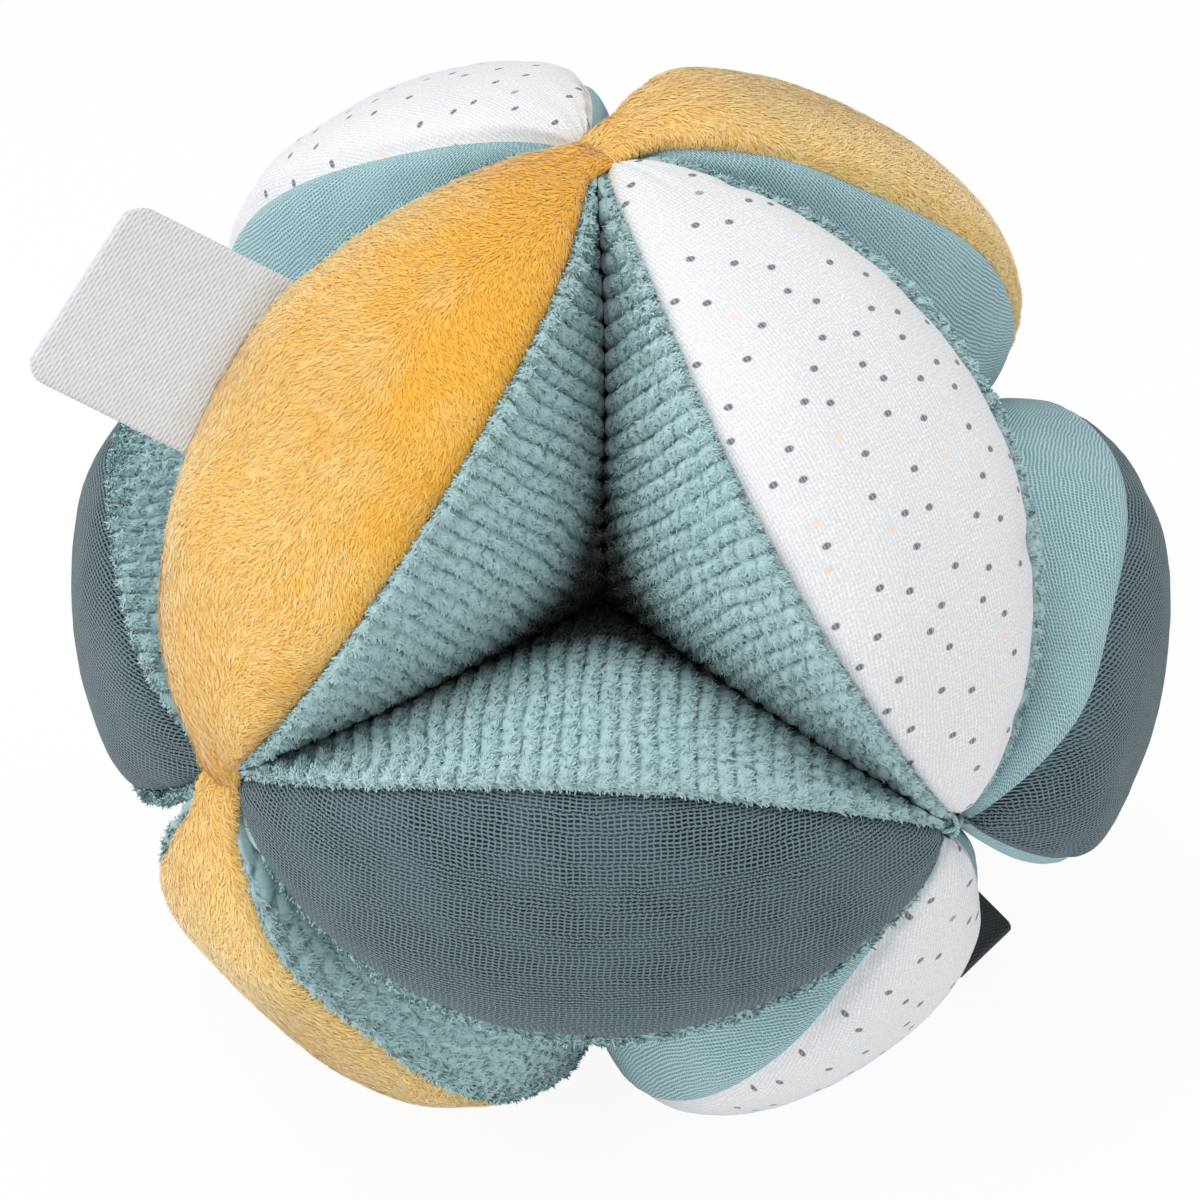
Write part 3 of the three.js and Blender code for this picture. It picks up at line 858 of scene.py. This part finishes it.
for number, (pod, first, second, outer, sides) in enumerate(PODS):
    if outer != "ochre_plush":
        continue
    axes = pod_axes(first, second)
    grid = lens_grid(number, *PLUSH_GRID, puckers=0.14, crinkle=0.05)
    place, across = np.meshgrid(*(np.linspace(-1, 1, count) for count in PLUSH_GRID), indexing="ij")
    lift = PLUSH_LIFT * off_seam(PANEL_HALF_WIDTH * (1 - np.abs(across)))
    grid = off_the_floor(blunt_tips(grid + lift[..., None] * grid_normals(grid)), pod)
    *places, random = scattered(grid, 1.0, PLUSH_BLADES, 600 + number)
    root, normal = sampled(grid, *places), unit(sampled(grid_normals(grid), *places))
    along, aside = tangent_frame(normal)
    u, v = root[:, 1], root[:, 2]
    turn = 1.5 * smooth_noise(u / 13 + 30, v / 11 + 30, 700 + number) + 0.35 * random.normal(size=len(u))
    lean = along * np.cos(turn)[:, None] + aside * np.sin(turn)[:, None]
    bunch = [smooth_noise(u / 0.9 + 200, v / 0.9 + 200, seed + number) for seed in (720, 740)]
    lean = lean + 0.35 * (along * bunch[0][:, None] + aside * bunch[1][:, None])
    layer = random.random((len(u), 1))
    length = PLUSH_LENGTH * (0.8 + 0.4 * random.random(len(u)))
    width = PLUSH_WIDTH * (0.7 + 0.6 * random.random(len(u)))
    points, shading = blades(root + (0.2 * layer + 0.02) * normal, normal, unit(0.05 * normal + 0.9 * lean),
                             length, width, random.normal(0, 0.1, len(u)))
    toward = random.normal(0, 0.16, (2, len(u), 1))
    shading = unit(shading + (along * toward[0] + aside * toward[1])[:, None])
    points = off_the_floor(points, pod)
    # Painted shade: `turned` deepens the colour over part of the front left panel and near the other
    # panels' first tip.
    if pod == "upper_front_left":
        ragged = 0.3 * smooth_noise(grid[..., 1] / 5 + 30, grid[..., 2] / 5 + 30, 760)
        turned = np.clip(1.6 * (0.75 * across - place - 0.3 + ragged), 0, 0.85)
        # Painted sheen: the left edge of this panel is painted paler, where the pile is seen at a slant.
        pale = np.clip(-0.8 * across - 0.3, 0, 0.5)
    else:
        # On the other panels the colour is painted deeper near the first tip, as shade, and paler all over,
        # as sheen.
        turned, pale = np.clip(-1.2 * place - 0.8, 0, 0.75), np.full(place.shape, 0.4)
    shade = np.repeat(0.25 * random.random((len(u), 1)) + 0.2 * bunch[0][:, None], 4, axis=1)
    values = {
        # Painted shade: lower blades and the feet of all blades reach less far and take the darker root
        # colour.
        "reach": (np.full(grid.shape[:2], 0.6), 0.3 * layer + np.array([[0.4, 0.4, 0.7, 0.7]])),
        "shade": (pale, on_blades(pale, places) + shade),
        "turned": (turned, on_blades(turned, places)),
    }
    pieces[pod, "outer"] = piled_piece(f"{pod}_outer_cloth", grid, axes, CLOTHS[outer], points, shading,
                                       places, values)
    print(pod, "plush blades:", len(points))

# %% [markdown]
# ## Chenille sides
# Chenille is knitted with a yarn that is itself a brush, so it stands up in soft ribs. The ribs lie
# square to the pod's length and run from the seam down into the pocket, about two millimetres apart,
# and each is a row of tufts. The grid is lifted into ribs and tufts, and along the seam into a raised
# edge, and locks of fibre stand on them. Ribs and tufts are counted, so that the material can paint
# shade into the grooves between them, and the cloth deep between two pods is painted dark, as the
# shade that falls there.

# %% Ribbed chenille
CHENILLE_BLADES, CHENILLE_GRID = 42000, (271, 209)
RIB_PITCH, RIB_HEIGHT, TUFT_PITCH = 2.1, 1.0, 1.9  # mm
EDGE_HEIGHT, EDGE_PLACE, EDGE_WIDTH = 1.2, 1.4, 1.1  # mm
LOCK_LENGTH, LOCK_WIDTH = 0.75, 0.25  # mm


def painted_pocket_shade(points):
    """Painted shade: from 0 in the open to 1 deep between two pods."""
    near_plane = np.exp(-np.maximum(plane_distance(points), 0) / 2.6)
    depth = np.clip((47 - np.linalg.norm(points, axis=-1)) / 15, 0, 1)
    return np.clip(0.75 * near_plane + 1.4 * depth, 0, 1.4)


for number, (pod, first, second, outer, sides) in enumerate(PODS):
    if sides != "teal_chenille":
        continue
    axes = pod_axes(first, second)
    grid, edge = side_grid(number, *CHENILLE_GRID, puckers=0.15, crinkle=0.05, roll=0.5)
    normals = grid_normals(grid)
    u, v = grid[..., 1], edge * np.sign(grid[..., 2])
    phase = u / RIB_PITCH + 0.22 * smooth_noise(u / 6 + 30, v / 4 + 30, 800 + number)
    rib = np.round(phase)
    knot = v / TUFT_PITCH + 2.7 * smooth_noise(rib * 3.7 + 40, 0 * v + 0.5, 810 + number)
    knot += 0.35 * smooth_noise(u / 2 + 70, v / 2 + 70, 815 + number) + 0.3 * (phase - rib)
    crest = np.cos(math.pi * (phase - rib))
    swell = np.sqrt(crest) * (0.75 + 0.25 * np.cos(2 * math.pi * knot))
    ribbed = grid + normals * (RIB_HEIGHT * (swell - 0.6) * off_seam(edge))[..., None]
    raised = EDGE_HEIGHT * bell((edge - EDGE_PLACE) / EDGE_WIDTH)
    outward = unit(grid * np.array([1.0, 1.0, 0.0]) + 25 * np.sign(grid) * [0, 0, 1])
    ribbed = off_the_floor(kept_apart(ribbed + raised[..., None] * outward, 0.03), pod)
    at_seam = bell(edge / 1.6)
    open_side = np.clip((plane_distance(ribbed) - 0.3) / 0.8, 0, 1)
    cells = (open_side * (0.15 + crest**2 + 1.5 * at_seam))[:-1, :-1] + 1e-6
    *places, random = scattered(ribbed, cells, CHENILLE_BLADES, 840 + number)
    root, normal = sampled(ribbed, *places), unit(sampled(normals, *places))
    seam_share = sampled(at_seam[..., None], *places)
    normal = unit(normal + 1.2 * seam_share * unit(root * np.array([1.0, 1.0, 0.0])))
    along, aside = tangent_frame(normal)
    scatter = random.normal(size=(2, len(root), 1))
    lean = unit(0.45 * normal + along * (0.5 + 0.5 * scatter[0]) + aside * (0.4 + 0.6 * scatter[1]))
    length = LOCK_LENGTH * (0.6 + 0.6 * random.random(len(root))) * (1 - 0.15 * seam_share[:, 0])
    width = LOCK_WIDTH * (0.6 + 0.6 * random.random(len(root))) * (1 + 0.4 * seam_share[:, 0])
    roll = random.normal(0, 0.5, len(root))
    points, shading = blades(root - 0.1 * normal, normal, lean, length, width, roll)
    points = off_the_floor(kept_apart(points, 0.02), pod)
    # Painted pocket shade, taken away near the seam.
    pocket_shade_share = painted_pocket_shade(ribbed) * (1 - 0.85 * bell(edge / 3.0))
    values = {
        "rib": (phase, on_blades(phase, places)),
        "tuft": (knot, on_blades(knot, places)),
        # Painted shade: the feet of the locks reach 0.1 and their tips 1.
        "reach": (np.zeros(grid.shape[:2]), np.tile([0.1, 0.1, 1.0, 1.0], len(root))),
        "painted_pocket_shade": (pocket_shade_share, on_blades(pocket_shade_share, places)),
    }
    pieces[pod, "side"] = piled_piece(f"{pod}_side_cloth", ribbed, axes, CLOTHS[sides], points, shading,
                                      places, values)
    print(pod, "chenille blades:", len(points))

# %% [markdown]
# ## Stuffing
# Inside each pod is a loose ball of polyester fibre. It is lumpy, and a little smaller than the cloth.
# Nobody sees it until a pod is opened, so a coarse grid is enough.

# %% Fibre stuffing
fibre, place = new_cloth("fibre_filling")
wisps = soft_noise(place, 0.6, 6.0)
woolly = wisps.mix(linear(226, 226, 220), linear(252, 252, 250))
finished(fibre, woolly, {"Roughness": 1.0, "Sheen Weight": 0.3}, wisps, 0.8, 0.0008)

FIBRE_INSET = 4.0  # mm
FIBRE_ROWS, FIBRE_LENS, FIBRE_SIDE = 41, 13, 33
angle = half_span(FIBRE_INSET) * np.linspace(-0.995, 0.995, FIBRE_ROWS)[:, None]
lens = lens_point(angle, np.linspace(-1, 1, FIBRE_LENS)[None, :], 1.0, FIBRE_INSET)
side = side_point(angle, np.linspace(1, -1, FIBRE_SIDE)[None, :], 1.0, FIBRE_INSET)
ring = np.concatenate([lens, side[:, 1:]], axis=1)
rows, columns = ring.shape[:2]
j = np.arange(columns - 1)
tip = np.full(columns - 1, rows * columns)
last = (rows - 1) * columns
caps = [np.stack([tip, j, j + 1], axis=1), np.stack([tip + 1, last + j + 1, last + j], axis=1)]
for number, (pod, first, second, outer, sides) in enumerate(PODS):
    u, v = ring[..., 1] / 6 + 40, (ring[..., 2] + ring[..., 0]) / 5 + 40
    lumpy = ring - grid_normals(ring) * (0.6 + 0.6 * smooth_noise(u, v, 900 + number))[..., None]
    points = np.concatenate([lumpy.reshape(-1, 3), lumpy[:1, 0], lumpy[-1:, 0]])
    flat = np.concatenate([cloth_map(lumpy).reshape(-1, 2), [[-40, 0], [40, 0]]])
    square = np.concatenate([square_map(rows, columns).reshape(-1, 2), [[0, 0.5], [1, 0.5]]])
    maps = {"Cloth": flat, "OFBake": square}
    pieces[pod, "stuffing"] = new_piece(f"{pod}_stuffing", placed(points, pod_axes(first, second)),
                                        [grid_quads(rows, columns), *caps], maps, [fibre])
print("stuffings:", sum(kind == "stuffing" for pod, kind in pieces))

# %% [markdown]
# ## Tacks
# Where four tips meet they are bound with a few turns of thread. A tack is a bundle of strands laid
# like a rope along the corner's axis, with two short bars of thread crossed over its outer end.

# %% Bundles of thread
thread, place = new_cloth("thread")
u, v = along_and_across(place)
twist = ((u + v) * 12.0).maths("SINE").ramp(-1.0, 1.0)
plied = twist.mix(linear(120, 158, 162), linear(176, 208, 210))
finished(thread, plied, {"Roughness": 0.7, "Sheen Weight": 0.3})
STRANDS, STRAND_RADIUS, BUNDLE_RADIUS = 6, 0.33, 0.66  # the radii in mm
TACK_FOOT, TACK_LENGTH, TACK_TOP = 53.6, 4.2, 60.0  # mm from the middle of the ball
BAR_REACH, BAR_FOOT, BAR_RISE = 1.5, 57.3, 0.9  # mm


def tube(path, radius, sides=8):
    """Points, faces and maps of a round strand along a path in millimetres."""
    count = len(path)
    ahead = unit(np.gradient(path, axis=0))
    first = unit(np.cross(ahead, [0.31, 0.52, 0.79]))
    second = np.cross(ahead, first)
    turn = np.linspace(0, 2 * math.pi, sides, endpoint=False)
    ring = first[:, None] * np.cos(turn)[None, :, None] + second[:, None] * np.sin(turn)[None, :, None]
    points = path[:, None] + radius * ring
    corner = np.arange(count * sides).reshape(count, sides)
    after = np.roll(corner, -1, axis=1)
    quads = np.stack([corner[:-1], after[:-1], after[1:], corner[1:]], axis=-1).reshape(-1, 4)
    length = np.concatenate([[0], np.cumsum(np.linalg.norm(np.diff(path, axis=0), axis=1))])
    flat = np.stack(np.meshgrid(length, turn * radius, indexing="ij"), axis=-1)
    return points.reshape(-1, 3), quads, flat.reshape(-1, 2)


def tack_paths():
    along = np.linspace(0, 1, 19)
    height = TACK_FOOT + TACK_LENGTH * along
    paths = []
    for strand in range(STRANDS):
        turn = 2 * math.pi * (strand / STRANDS + 0.9 * along)
        paths.append(np.stack([BUNDLE_RADIUS * np.cos(turn), BUNDLE_RADIUS * np.sin(turn), height], axis=1))
    paths.append(np.stack([0 * along, 0 * along, height], axis=1))
    for quarter in (0, 1):
        reach = BAR_REACH * np.cos(math.pi * along)
        rise = BAR_FOOT + BAR_RISE * np.sin(math.pi * along)
        bar = [reach, 0 * along, rise] if quarter == 0 else [0 * along, reach, rise + 0.25]
        paths.append(np.stack(bar, axis=1))
    return paths


tacks = {}
for corner, direction in CORNERS.items():
    out = np.array(direction, float)
    first = unit(np.cross(out, [0.36, -0.48, 0.8]))
    axes = np.column_stack([first, np.cross(out, first), out])
    points, quads, flats, start = [], [], [], 0
    for path in tack_paths():
        strand, faces, flat = tube(path, STRAND_RADIUS)
        points.append(strand)
        quads.append(faces + start)
        flats.append(flat)
        start += len(strand)
    points, flat = np.concatenate(points), np.concatenate(flats)
    points[:, 2] = np.minimum(points[:, 2], TACK_TOP)
    maps = {"Cloth": flat, "OFBake": flat / (flat.max(axis=0) + 1e-6)}
    tacks[corner] = new_piece(f"{corner}_stitches", placed(points, axes), quads, maps, [thread])
    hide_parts(f"{corner}_tack")
    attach(tacks[corner], "ball")
print("tacks:", len(tacks))

# %% [markdown]
# ## Label and tag
# A wide white ribbon and a narrow dark one are folded double, and their two ends are caught in a seam.
# On the real ball they are the only pieces that swing about their foot in the seam. A ribbon is one
# sheet, laid along a folded path and then given its thickness.
# The wide one hangs a little askew, its free corners are cut round, and its face is bare twill.

# %% Ribbons
RIBBON_THICK, RIBBON_OPEN, RIBBON_SEWN = 0.36, 0.42, 1.2  # mm


def twill(name, pale, deep, pitch, rough, sheen):
    material, place = new_cloth(name)
    u, v = along_and_across(place)
    rib = (u * (2 * math.pi / pitch)).maths("SINE")
    wale = ((u + v * 0.55) * (2 * math.pi / (1.7 * pitch))).maths("SINE")
    height = rib + wale * 0.8
    colour = (height + soft_noise(place, 0.5) * 1.2).ramp(-1.2, 1.8).mix(deep, pale)
    return finished(material, colour, {"Roughness": rough, "Sheen Weight": sheen}, height, 0.4, 0.00008)


def ribbon(name, foot, along, out, face, width, length, corner, skew, wave, material):
    foot, along, out, face = (np.array(v) for v in (foot, along, out, face))
    straight = length - RIBBON_OPEN
    bend = math.pi * RIBBON_OPEN
    there, back = np.linspace(-RIBBON_SEWN, straight, 44), np.linspace(0, straight + RIBBON_SEWN, 44)
    path = np.concatenate([there, straight + bend * np.linspace(0.1, 0.9, 9), straight + bend + back])
    turn = np.clip((path - straight) / RIBBON_OPEN, 0, math.pi)
    reach = np.where(path > straight + bend, 2 * straight + bend - path, np.minimum(path, straight))
    reach = reach + RIBBON_OPEN * np.sin(turn)
    foot_share = np.clip((reach + 0.4) / 3.0, 0.0, 1.0)
    layer = RIBBON_OPEN * np.cos(turn) * (0.5 + 0.5 * foot_share)
    past = np.clip((reach - (length - corner)) / corner, 0, 1)
    half = width / 2 - corner * (1 - np.sqrt(1 - 0.98 * past**2))
    across = np.linspace(-1, 1, 41)[None, :] * half[:, None]
    share = np.clip(reach / length, 0, 1)[:, None]
    lift = wave * (np.sin(across * 0.21 + 0.8) * share**1.5 - 0.5 * share**2)
    grid = (foot + out * reach[:, None, None] + along * (across + skew * reach[:, None].clip(0))[..., None]
            + face * (layer[:, None] + lift)[..., None])
    size = grid.shape[:2]
    flat = np.stack([np.broadcast_to(path[:, None], across.shape), across], axis=-1)
    maps = {"Cloth": flat, "OFBake": square_map(*size)}
    sheet = new_piece(name, MM * grid, [grid_quads(*size)], maps, [material])
    thick = sheet.modifiers.new("thickness", "SOLIDIFY")
    thick.thickness, thick.offset = RIBBON_THICK * MM, 0
    graph = bpy.context.evaluated_depsgraph_get()
    sheet.data = bpy.data.meshes.new_from_object(sheet.evaluated_get(graph))
    sheet.modifiers.clear()
    return sheet, MM * (foot - 0.2 * out), MM * (foot + 2.6 * out)


white_twill = twill("white_ribbon", pale=linear(217, 218, 222), deep=linear(191, 194, 199),
                    pitch=0.42, rough=0.5, sheen=0.25)
black_satin = twill("black_ribbon", pale=linear(52, 57, 60), deep=linear(30, 34, 37),
                    pitch=0.3, rough=0.35, sheen=0.2)
RIBBONS = {
    "label": ("woven_label", "white_ribbon", ribbon(
        "label_ribbon", foot=(-42.37101, -16.61828, 102.57391), along=(-0.50971, -0.49774, -0.70175),
        out=(-0.84785, 0.15210, 0.50795), face=(-0.14609, 0.85389, -0.49953),
        width=23, length=19, corner=2.5, skew=0.11, wave=0.45, material=white_twill)),
    "tag": ("care_tag", "black_ribbon", ribbon(
        "tag_ribbon", foot=(36.40959, 11.77810, 11.37976), along=(-0.67947, -0.44501, -0.58334),
        out=(0.66697, -0.70594, -0.23833), face=(-0.30575, -0.55101, 0.77647),
        width=10, length=19.5, corner=1.0, skew=0.0, wave=0.3, material=black_satin)),
}
for body, (node_name, slot, (piece, start, end)) in RIBBONS.items():
    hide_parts(node_name)
    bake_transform(piece)
    print("ribbon:", piece.name, "on", body)

# %% [markdown]
# ## What each piece stands for
# Each cloth takes the place of the solid of the same pod and moves with the ball.

# %% The pods ride on the ball
NODE_NAMES = {"outer": "outer_panel", "side": "side_panel", "stuffing": "filling"}
for (pod, kind), piece in pieces.items():
    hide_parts(f"{pod}_{NODE_NAMES[kind]}")
    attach(piece, "ball")
print("pieces on the ball:", len(pieces))

# %% [markdown]
# ## Camera
# The photograph was taken from the front and from well above, with a long lens. Where its six corners
# and its outline lie gives the angles, the distance and the lens.

# %% Camera
CAMERA_ANGLES = 2.415, 36.426, 0.986  # azimuth, elevation and roll in degrees
CAMERA_DISTANCE = 0.4629  # m from the middle of the ball
SENSOR, FOCAL_PIXELS, PHOTO_PIXELS = 36, 3790, 1200
CAMERA_SHIFT = -0.0093, -0.0033

azimuth, elevation, roll = (math.radians(v) for v in CAMERA_ANGLES)
out = Vector((math.sin(azimuth) * math.cos(elevation), -math.cos(azimuth) * math.cos(elevation),
              math.sin(elevation)))
right = Vector((math.cos(azimuth), math.sin(azimuth), 0))
up = out.cross(right)
right, up = right * math.cos(roll) + up * math.sin(roll), up * math.cos(roll) - right * math.sin(roll)
camera = linked("camera", bpy.data.cameras.new("camera"))
place = Matrix((right, up, out)).transposed().to_4x4()
place.translation = Vector(CENTRE) + CAMERA_DISTANCE * out
camera.matrix_world = place
camera.data.sensor_width = SENSOR
camera.data.lens = SENSOR * FOCAL_PIXELS / PHOTO_PIXELS
camera.data.shift_x, camera.data.shift_y = CAMERA_SHIFT
camera.data.clip_start, camera.data.clip_end = 0.02, 20
bpy.context.scene.camera = camera
print("camera at", [round(v, 3) for v in place.translation])

# %% [markdown]
# ## Light
# The photograph's light comes from all round, as in a white tent, with a little more from above and
# from the left. A white sky and four large, soft lamps do that. The floor is lit like any surface and
# throws light back up, but the camera sees it, and the sky, almost as plain white.

# %% Floor, sky and lamps
FLOOR_WHITE, FLOOR_GLOW, SKY_STRENGTH = 0.92, 0.93, 0.38
# Place and size in metres, and watts.
LAMPS = {
    "top": ((-0.25, -0.1, 1.1), 1.0, 7.2),
    "left": ((-1.0, -0.3, 0.45), 0.8, 3.9),
    "right": ((0.9, 0.15, 0.6), 0.8, 2.3),
    "front": ((0.1, -1.1, 0.12), 0.8, 4.1),
}


def plain_to_camera(tree, lit, output, plain, share):
    """The camera sees plain white, and every other ray sees what is lit."""
    white = node(tree, plain, {"Color": (1, 1, 1, 1), "Strength": 1.0})
    seen = node(tree, "ShaderNodeLightPath", {}, "Is Camera Ray") * share
    both = node(tree, "ShaderNodeMixShader", {0: seen, 1: Value(tree, lit.outputs[0]), 2: white})
    set_inputs(tree, tree.nodes[output], {"Surface": both})


floor_mesh = bpy.data.meshes.new("floor")
floor_mesh.from_pydata([(-6, -6, 0), (6, -6, 0), (6, 6, 0), (-6, 6, 0)], [], [(0, 1, 2, 3)])
floor = linked("floor", floor_mesh)
board = bpy.data.materials.new("white_floor")
board.use_nodes = True
surface = board.node_tree.nodes["Principled BSDF"]
surface.inputs["Base Color"].default_value = (FLOOR_WHITE, FLOOR_WHITE, FLOOR_WHITE, 1)
surface.inputs["Roughness"].default_value = 0.9
plain_to_camera(board.node_tree, surface, "Material Output", "ShaderNodeEmission", FLOOR_GLOW)
floor_mesh.materials.append(board)

world = bpy.data.worlds.new("white_tent")
world.use_nodes = True
bpy.context.scene.world = world
sky = world.node_tree.nodes["Background"]
sky.inputs["Color"].default_value = (1, 1, 1, 1)
sky.inputs["Strength"].default_value = SKY_STRENGTH
plain_to_camera(world.node_tree, sky, "World Output", "ShaderNodeBackground", 1.0)

for name, (place, size, power) in LAMPS.items():
    light = bpy.data.lights.new(name, "AREA")
    light.shape = "DISK"
    light.size = size
    light.energy = power
    lamp = linked(name, light)
    lamp.location = place
    lamp.rotation_euler = (Vector(CENTRE) - Vector(place)).to_track_quat("-Z", "Y").to_euler()
bpy.context.scene.view_settings.view_transform = "Standard"
print("lamps:", ", ".join(LAMPS))
